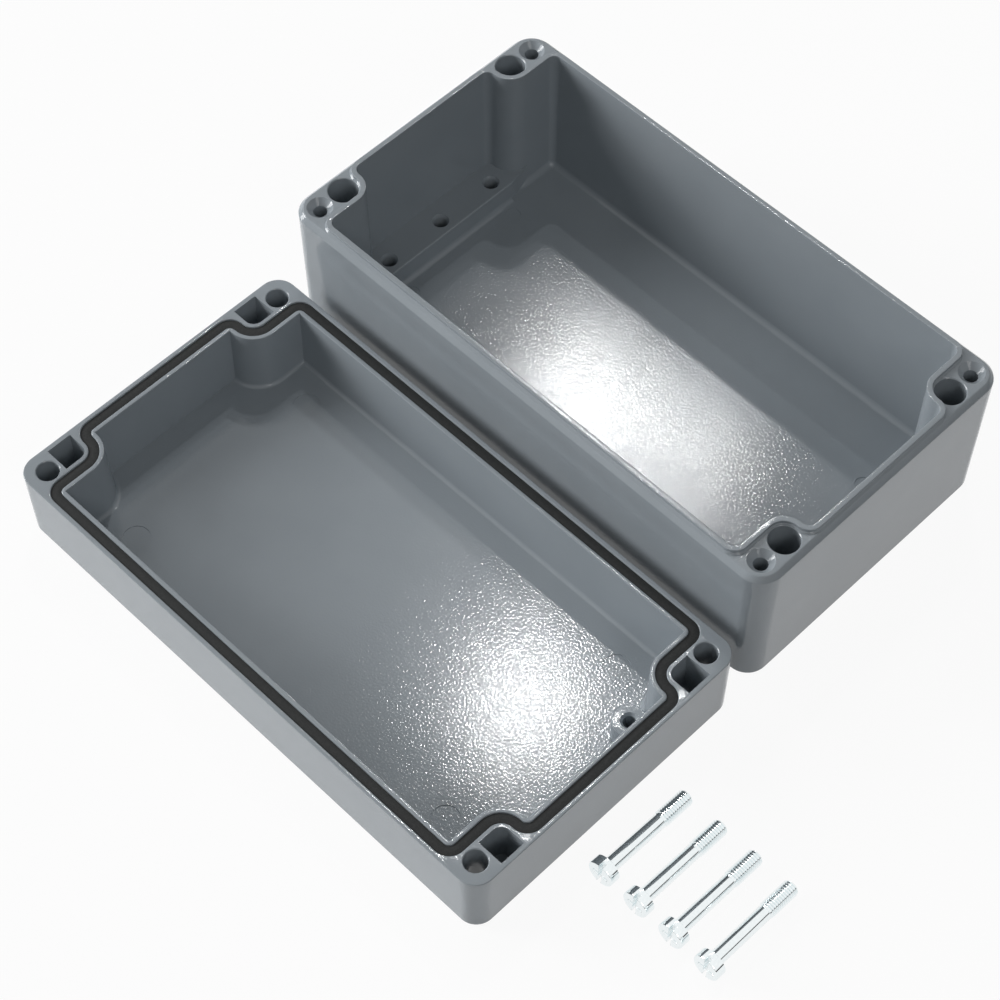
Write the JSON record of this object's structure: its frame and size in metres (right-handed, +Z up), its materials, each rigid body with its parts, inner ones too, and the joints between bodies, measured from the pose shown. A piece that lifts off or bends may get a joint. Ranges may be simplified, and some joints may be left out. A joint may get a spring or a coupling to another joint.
{
  "type": "die cast aluminium box",
  "caption": "Die cast box shown open: base with corner mounting wells and fixing rails, upturned lid with a gasket in its groove, and the lid screws beside it.",
  "frame": {"origin": "centre of the base's underside, which stands on the surface", "axes": "+X along the box's length, +Y across it away from the lid, +Z up out of the open base"},
  "size_m": [0.2842, 0.2467, 0.0617],
  "materials": {
    "coated_casting": "cast aluminium under a glossy grey powder coat with a fine orange peel",
    "gasket_rubber": "matt foamed rubber",
    "plated_steel": "bright zinc plated steel"
  },
  "bodies": {
    "root": {"base": "coated_casting", "lid": "coated_casting", "gasket": "gasket_rubber", "screw_1": "plated_steel", "screw_2": "plated_steel", "screw_3": "plated_steel", "screw_4": "plated_steel"}
  },
  "joints": []
}
